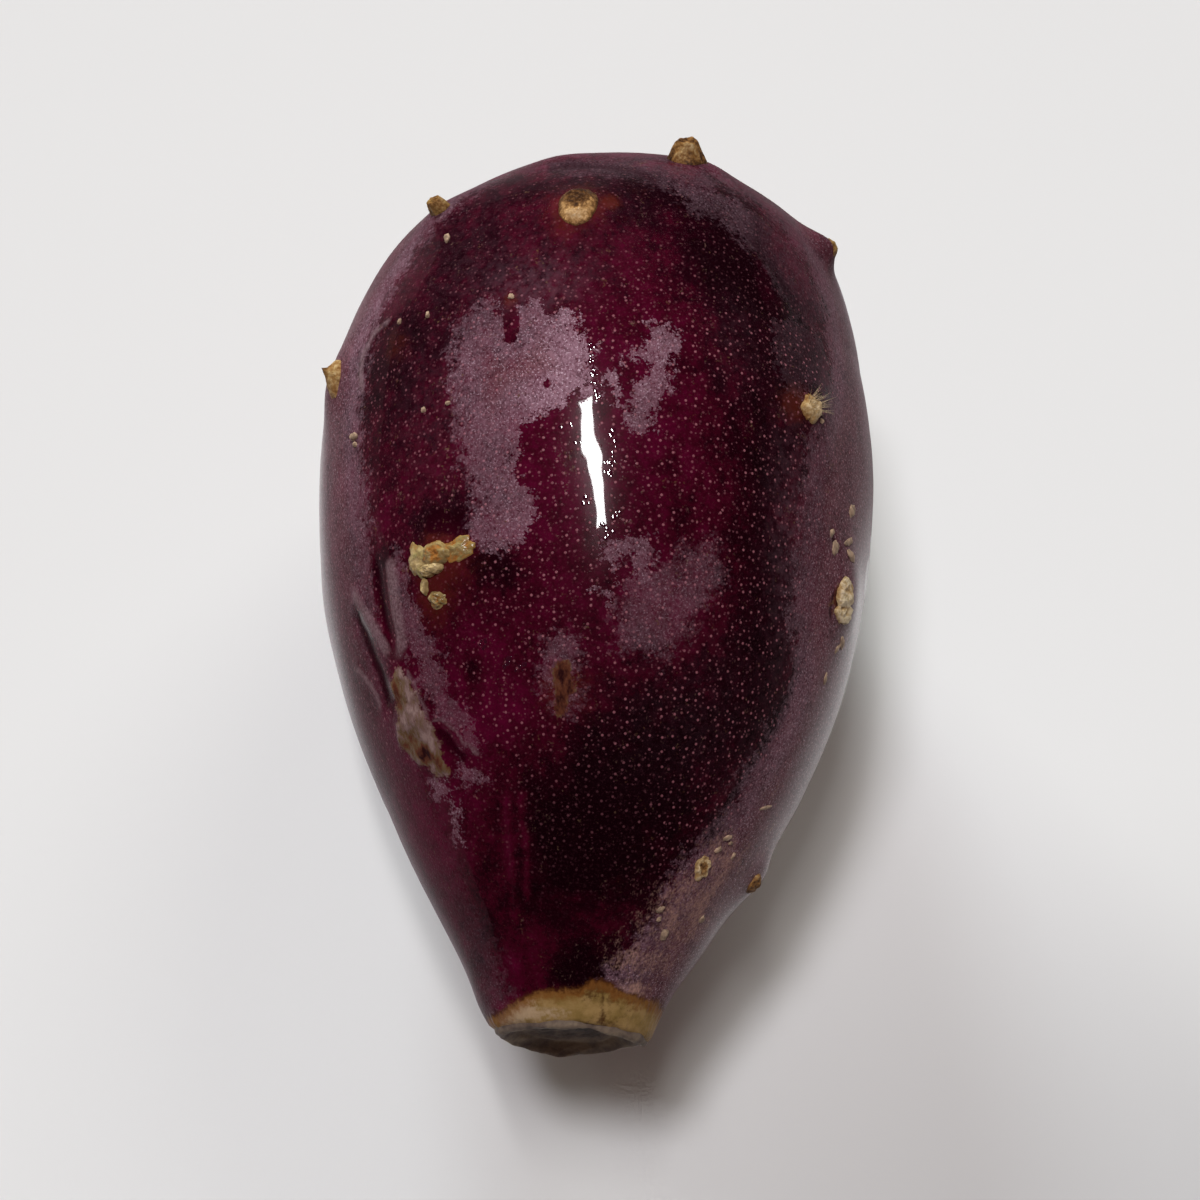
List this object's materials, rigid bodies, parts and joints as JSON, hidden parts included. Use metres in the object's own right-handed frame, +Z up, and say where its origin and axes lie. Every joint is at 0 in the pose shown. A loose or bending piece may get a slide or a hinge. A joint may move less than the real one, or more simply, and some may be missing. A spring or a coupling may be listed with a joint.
{
  "type": "prickly pear fruit",
  "caption": "Whole ripe prickly pear fruit lying on its side, with raised areoles, a cut stem end and a dished crown, for food and still-life scenes.",
  "frame": {"origin": "middle of the small flattened patch of skin that the fruit rests on, straight below its balance point", "axes": "+Z up, +Y from the cut stem end towards the crown along the lying fruit, +X to the right as seen from the stem end"},
  "size_m": [0.0505, 0.0798, 0.0481],
  "materials": {
    "skin": "smooth waxy wine-red fruit skin with pale dots and a dull bloom in patches",
    "areole": "rough dry tan areoles, corky scars and bristles",
    "cut_stem": "dry tan rind round a grey shrunken cut face"
  },
  "bodies": {
    "root": {"prickly_pear_fruit": "skin"}
  },
  "joints": []
}
